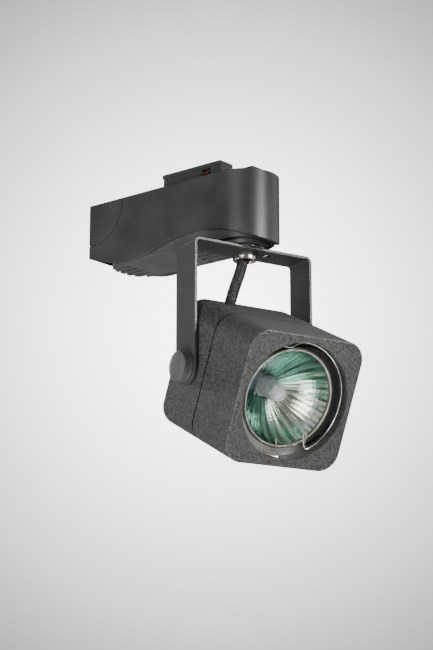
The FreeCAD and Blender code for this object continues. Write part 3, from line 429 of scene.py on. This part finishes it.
def bowl_facets(columns=54, rows=15):
    """The mirror surface: columns of pillow-shaped facets, narrowing towards the neck."""
    rng = random.Random(7)
    column_chance = [0.55 * (column % 2) + 0.45 * rng.random() for column in range(columns)]
    points, faces, shades = [], [], []
    cell = ((0, 0), (0.5, 0), (1, 0), (0, 0.5), (0.5, 0.5), (1, 0.5), (0, 1), (0.5, 1), (1, 1))
    for row in range(rows):
        low = BOWL_NECK + (BOWL_FRONT - BOWL_NECK) * (row / rows) ** 1.35
        high = BOWL_NECK + (BOWL_FRONT - BOWL_NECK) * ((row + 1) / rows) ** 1.35
        for column in range(columns):
            base = len(points)
            for across, up in cell:
                a = low + (high - low) * up
                bulge = 0.22 * (1 - (2 * across - 1) ** 2) + 0.02 * (1 - (2 * up - 1) ** 2)
                turn = 2 * math.pi * (column + across) / columns
                r = bowl_radius(a) - bulge * (0.3 + 0.7 * (row + up) / rows)
                points.append((a, r * math.cos(turn), r * math.sin(turn)))
            for y in (0, 1):
                for x in (0, 1):
                    at = base + 3 * y + x
                    faces.append((at, at + 1, at + 4, at + 3))
            chance = 0.88 * column_chance[column] + 0.12 * rng.random()
            gloss = 0.8 * column_chance[column] + 0.2 * rng.random()
            shades.append((chance, gloss, column / columns))
    return points, faces, shades


def lamp_reflector():
    """The lamp's glass body with its faceted mirror, standing for the plain CAD one."""
    points, faces, shades = bowl_facets()
    mirror = piece("mirror", points, faces, dichroic_look(), place=HEAD)
    layer = mirror.data.attributes.new("facet", "FLOAT_COLOR", "POINT")
    values = []
    # Each facet's tone carries its painted reflections and its gloss.
    for chance, gloss, around in shades:
        values += [facet_tone_and_reflection(chance, around), gloss, 0.0, 1.0] * FACET_POINTS
    layer.data.foreach_set("color", values)
    outer = [(BOWL_NECK, BOWL_NECK_R), (NECK_A, NECK_R - 1), (NECK_A, NECK_R), (22, 11.6), (26, 15.7),
             (30, 18.9), (34, 21.6), (37, 23.2), (RIM_REAR, 24.3), (RIM_REAR, RIM_R - 0.35),
             (RIM_REAR + 0.35, RIM_R), (RIM_FRONT - 0.35, RIM_R), (RIM_FRONT, RIM_R - 0.3),
             (RIM_FRONT, RIM_R - 0.6), (BOWL_FRONT + 0.1, RIM_R - 0.65), (BOWL_FRONT, BOWL_R)]
    shell = piece("shell", *revolved(outer, 96, closed=False), reflector_glass_look(), place=HEAD)
    edge = [(RIM_FRONT - 0.3, 23.9), (RIM_FRONT + 0.02, 23.95), (RIM_FRONT + 0.1, 24.15),
            (RIM_FRONT + 0.02, 24.35), (RIM_FRONT - 0.3, 24.4)]
    line = piece("rim_line", *revolved(edge, 96), rim_line_look(), place=HEAD)
    made = join("faceted_reflector", mirror, shell, line, lamp_base())
    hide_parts("lamp_reflector")
    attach(made, "head")


def facet_tone_and_reflection(chance, around):
    """A facet's tone: a painted warm white highlight on one flank, a painted pale blue-grey reflection on the
    other, teal and green between.
    """
    angle = 2 * math.pi * around
    # Painted reflections by the facet's place around the bowl: a warm white highlight on the lit flank, pale
    # blue-grey on the far flank.
    flank = max(0.0, math.cos(angle + 0.55)) ** 2.2
    far_flank = max(0.0, -math.cos(angle + 0.55)) ** 2.2
    warm = 0.95 * flank * (0.2 + 0.75 * chance)
    pale = 0.42 * far_flank * (0.3 + 0.7 * chance)
    tone = 0.18 + 0.2 * chance + warm - pale
    return min(1.0, max(0.0, tone))


def lamp_base():
    """The ceramic block behind the neck, with softened edges."""
    mesh = bmesh.new()
    bmesh.ops.create_cube(mesh, size=1)
    size, centre = Vector((15.4, 16, 11)), Vector((12.1, 0, 0))
    for vert in mesh.verts:
        vert.co = Vector(a * b for a, b in zip(vert.co, size)) + centre
    bmesh.ops.bevel(mesh, geom=mesh.edges[:], offset=0.9, segments=3, profile=0.5, affect="EDGES")
    points = [tuple(v.co) for v in mesh.verts]
    faces = [tuple(v.index for v in f.verts) for f in mesh.faces]
    mesh.free()
    return piece("base", points, faces, LOOKS["ceramic"], smooth=False, place=HEAD)


def capsule_glass_look():
    """The burner's quartz: a near-white warm cream that stands in for light reflected in the quartz, a painted
    reflection, and dented.
    """
    look = Look("quartz", (1.0, 0.97, 0.84), 0.16, Transmission_Weight=0.05, IOR=1.46,
                Specular_IOR_Level=1.0)
    look.vary(look.noise(600, 4, 0.65), 0.45, 0.1)
    look.bump((look.cells(420), 1.0, 0.0011), (look.noise(500, 3), 0.6, 0.0008))
    return look.material


def quartz_profile(r=4.6, wall=0.9, root=18.1, nose=31.5):
    """The burner's wall, out along its outside to the round nose and back along its inside."""
    inner = r - wall
    top = math.pi / 2 - 0.03
    outside = [(root, r)] + [(nose + r * math.sin(t), r * math.cos(t)) for t in steps(0, top, 10)]
    inside = [(nose + inner * math.sin(t), inner * math.cos(t)) for t in steps(top, 0, 10)]
    return outside + inside + [(root + 4, inner), (root + 3, 0.4)]


def filament_lines(at=27.5, r=1.1, half=2.4, turns=9):
    """The filament's coil across the burner, and the two legs that hold it."""
    whole = 2 * math.pi * turns
    coil = [(at + r * math.cos(t), -half + 2 * half * t / whole, r * math.sin(t)) for t in steps(0, whole, 180)]
    legs = [[(at, side * half, 0), (24, side * half, 0), (20.5, side * 1.6, 0)] for side in (-1, 1)]
    return [coil] + legs


def capsule():
    """The quartz burner: a thick-walled tube with a round nose, its filament, legs and cement."""
    points, faces = revolved(quartz_profile(), 48, closed=False)
    glass = piece("quartz_tube", points, faces, capsule_glass_look(), place=HEAD)
    wires = [tube(f"filament_{i}", line, 0.16, 8, LOOKS["spring"]) for i, line in enumerate(filament_lines())]
    plug = [(18.2, 0.3), (18.2, 4.4), (20.6, 4.4), (21.2, 3.6), (21.3, 0.3)]
    cement = piece("cement", *revolved(plug, 32, closed=False), LOOKS["ceramic"], place=HEAD)
    made = join("quartz_burner", glass, cement, *wires)
    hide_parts("lamp_capsule")
    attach(made, "head")


def steps(start, end, count):
    """Evenly spaced numbers from start to end, both included."""
    return [start + (end - start) * i / count for i in range(count + 1)]


def tube(name, line, radius, sides, material, place=HEAD):
    """A round tube along a line of points, with its cross-section carried along without twist."""
    line = [Vector(p) for p in line]
    points, faces = [], []
    for i, (centre, side, up) in enumerate(carried_frames(line)):
        for k in range(sides):
            turn = 2 * math.pi * k / sides
            points.append(centre + side * (radius * math.cos(turn)) + up * (radius * math.sin(turn)))
        if i:
            for k in range(sides):
                a, b = (i - 1) * sides + k, (i - 1) * sides + (k + 1) % sides
                faces.append((a, b, b + sides, a + sides))
    faces.append(tuple(range(sides))[::-1])
    faces.append(tuple(range(len(points) - sides, len(points))))
    return piece(name, points, faces, material, place=place)


def carried_frames(line):
    """(centre, side, up) at every point of a line, each carried on from the one before."""
    frames, side = [], None
    for i, centre in enumerate(line):
        ahead = (line[min(i + 1, len(line) - 1)] - line[max(i - 1, 0)]).normalized()
        if side is None:
            side = ahead.orthogonal().normalized()
        side = (side - ahead * side.dot(ahead)).normalized()
        frames.append((centre, side, ahead.cross(side)))
    return frames


# ---------------------------------------------------------------- cord

CORD_R = 2.95
CARRIERS, BRAID_PITCH, STRAND_WIDE, STRAND_THICK, WEAVE_LIFT = 12, 21.0, 0.98, 0.28, 0.17
CORD_IN = (-12, -11.8, 33)


def cord_route():
    """The cord's route in the part's frame, from the nipple's top to inside the head."""
    turn = Matrix.Rotation(math.radians(TILT_REST), 4, "Y")
    entry = turn @ Vector(CORD_IN) + Vector((0, 0, PIVOT.z / MM))
    normal = turn @ Vector((0, 0, 1))
    route = [(0, -0.5, -14), (0, 0.6, -25), (0, 0.2, -36), (0, -1.7, -49.5),
             entry + normal * 5, entry - normal * 15]
    return [BRACKET @ (Vector(p) * MM) for p in route]


def smooth_line(route):
    """Points read from the NURBS spline that the route's points control."""
    data = bpy.data.curves.new("cord_line", "CURVE")
    data.dimensions = "3D"
    data.resolution_u = 64
    spline = data.splines.new("NURBS")
    spline.points.add(len(route) - 1)
    for point, at in zip(spline.points, route):
        point.co = (*at, 1)
    spline.order_u = 3
    spline.use_endpoint_u = True
    holder = bpy.data.objects.new("cord_line", data)
    bpy.context.scene.collection.objects.link(holder)
    bpy.context.view_layer.update()
    mesh = bpy.data.meshes.new_from_object(holder)
    line = [v.co.copy() for v in mesh.vertices]
    bpy.data.objects.remove(holder)
    return line


def evenly(line, gap):
    """The same line with its points an even distance apart."""
    spans = [0.0]
    for a, b in zip(line, line[1:]):
        spans.append(spans[-1] + (b - a).length)
    count = max(2, round(spans[-1] / gap))
    even, k = [], 0
    for i in range(count + 1):
        at = spans[-1] * i / count
        while k < len(line) - 2 and spans[k + 1] < at:
            k += 1
        even.append(line[k].lerp(line[k + 1], (at - spans[k]) / max(1e-12, spans[k + 1] - spans[k])))
    return even


def braid_look():
    """Matt polyester filament: fine lines along each strand and small changes of tone between them."""
    look = Look("black_braid", (0.014, 0.014, 0.015), 0.42, Sheen_Weight=0.06, Sheen_Roughness=0.4)
    look.vary(look.noise(2500, 3, 0.7), 0.5, 0.12)
    look.bump((look.noise(5200, 2), 0.5, 0.00006))
    return look.material


def sleeve_strands(line):
    """Points and faces of the woven sleeve: flat strands, twelve each way round, over and under."""
    frames = carried_frames(line)
    points, faces = [], []
    gap = (line[1] - line[0]).length
    section = ((-1, -0.3), (-0.6, 0.5), (0.6, 0.5), (1, -0.3))
    for way in (1, -1):
        for carrier in range(CARRIERS):
            start = len(points)
            for i, (centre, side, up) in enumerate(frames):
                travel = i * gap
                turn = 2 * math.pi * (carrier / CARRIERS + way * travel / BRAID_PITCH)
                lift = WEAVE_LIFT * way * math.cos(2 * math.pi * CARRIERS * travel / BRAID_PITCH)
                middle = CORD_R - 0.3 + lift
                half = STRAND_WIDE / 2 / middle
                for across, thick in section:
                    r = middle + thick * STRAND_THICK
                    at = turn + across * half
                    points.append(centre + side * (r * math.cos(at)) + up * (r * math.sin(at)))
                if i:
                    a = start + 4 * (i - 1)
                    for k in range(4):
                        n = (k + 1) % 4
                        faces.append((a + k, a + n, a + n + 4, a + k + 4))
            faces.append(tuple(range(start, start + 4))[::-1])
            faces.append(tuple(range(len(points) - 4, len(points))))
    return points, faces


def braided_cord():
    """The lamp's cord: a core under a plain-woven sleeve."""
    line = [p / MM for p in evenly(smooth_line(cord_route()), 0.2 * MM)]
    material = braid_look()
    core = tube("core", line, CORD_R - 0.42, 20, material, Matrix.Identity(4))
    sleeve = piece("sleeve", *sleeve_strands(line), material)
    made = join("braided_cord", core, sleeve)
    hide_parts("lamp_cord")
    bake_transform(made)


lamp_reflector()
capsule()
braided_cord()


# ---------------------------------------------------------------- studio

EYE = Vector((0.5543, -0.69666, -0.30805))
LOOK_ALONG = Vector((-0.61537, 0.74801, 0.24859))
FLOOR_HALF, FLOOR_Z = 9, -1.6
BACK_BRIGHT, BACK_FALL, BACK_DIM, SKY = 6.9, 23.6, 0.6, 0.12
WHITE = (1, 1, 1, 1)


def studio_camera():
    """The camera, from below and in front."""
    data = bpy.data.cameras.new("camera")
    data.lens = 100.16
    data.sensor_width = 36
    data.clip_end = 50
    camera = bpy.data.objects.new("camera", data)
    camera.location = EYE
    camera.rotation_mode = "QUATERNION"
    camera.rotation_quaternion = LOOK_ALONG.to_track_quat("-Z", "Y")
    bpy.context.scene.collection.objects.link(camera)
    bpy.context.scene.camera = camera


def soft_light(name, place, aim, size, power, spread=180):
    """A rectangular light at a place, aimed at a point, with its power in watts and spread in degrees."""
    data = bpy.data.lights.new(name, "AREA")
    data.shape = "RECTANGLE"
    data.size, data.size_y = size
    data.energy = power
    data.spread = math.radians(spread)
    made = bpy.data.objects.new(name, data)
    made.location = place
    made.rotation_mode = "QUATERNION"
    made.rotation_quaternion = (Vector(aim) - Vector(place)).to_track_quat("-Z", "Y")
    bpy.context.scene.collection.objects.link(made)


def pale_floor():
    """A plain pale floor, well below the part."""
    look = Look("pale_floor", (0.82, 0.82, 0.82), 0.8)
    look.vary(look.noise(1.5, 3), 0.03, 0.05)
    mesh = bpy.data.meshes.new("floor")
    corners = [(x * FLOOR_HALF, y * FLOOR_HALF, FLOOR_Z) for x, y in ((-1, -1), (1, -1), (1, 1), (-1, 1))]
    mesh.from_pydata(corners, [], [(0, 1, 2, 3)])
    mesh.materials.append(look.material)
    floor = bpy.data.objects.new("floor", mesh)
    bpy.context.scene.collection.objects.link(floor)


def pale_world():
    """A pale backdrop, brightest behind the object, and an even dimmer sky for everything else."""
    world = bpy.data.worlds.new("studio")
    bpy.context.scene.world = world
    world.use_nodes = True
    tree = world.node_tree
    tree.nodes.clear()

    def add(kind, inputs=None, **settings):
        return add_node(tree, kind, inputs, **settings)

    way = add("ShaderNodeTexCoord").outputs["Generated"]
    centre = tuple(LOOK_ALONG.normalized())
    off = add("ShaderNodeVectorMath", {0: way, 1: centre}, operation="DISTANCE").outputs["Value"]
    spread = add("ShaderNodeMath", {0: off, 1: 1.5}, operation="POWER").outputs[0]
    fall = add("ShaderNodeMath", {0: spread, 1: -BACK_FALL}, operation="MULTIPLY").outputs[0]
    shape = add("ShaderNodeMath", {0: fall}, operation="EXPONENT").outputs[0]
    glow = add("ShaderNodeMath", {0: shape, 1: BACK_BRIGHT}, operation="MULTIPLY").outputs[0]
    glow = add("ShaderNodeMath", {0: glow, 1: BACK_DIM}, operation="MAXIMUM").outputs[0]
    backdrop = add("ShaderNodeBackground", {"Color": WHITE, "Strength": glow}).outputs[0]
    sky = add("ShaderNodeBackground", {"Color": WHITE, "Strength": SKY}).outputs[0]
    seen = add("ShaderNodeLightPath").outputs["Is Camera Ray"]
    mix = add("ShaderNodeMixShader", {0: seen, 1: sky, 2: backdrop}).outputs[0]
    add("ShaderNodeOutputWorld", {"Surface": mix})


studio_camera()
pale_floor()
pale_world()
soft_light("key_softbox", (-0.5, -1.25, -0.95), (0, 0, -0.1), (1.1, 1.1), 34)
soft_light("front_strip", (0.3, -1.45, 0.02), (0.03, -0.02, -0.12), (0.9, 0.6), 14)
soft_light("edge_strip", (0.22, -1.4, -0.62), (0.03, -0.02, -0.12), (0.12, 0.6), 5)
soft_light("face_light", (0.44, 0.02, 0.07), (0.05, -0.018, -0.108), (0.16, 0.16), 0.27, spread=30)
soft_light("floor_bounce", (0.1, -0.2, -1.2), (0, 0, -0.05), (1.2, 1.2), 11)
soft_light("back_softbox", (0.75, 1.5, 0.3), (0, 0, -0.08), (1.2, 1.2), 7)
soft_light("rear_fill", (-1.25, 0.42, 0.6), (0, 0, -0.08), (0.9, 0.9), 4)
soft_light("overhead", (0.1, 0.9, 1.6), (0, 0, -0.05), (1.2, 1.2), 5)
soft_light("floor_wash", (0, 0.4, -0.9), (0, 0.4, -1.6), (3, 3), 26)
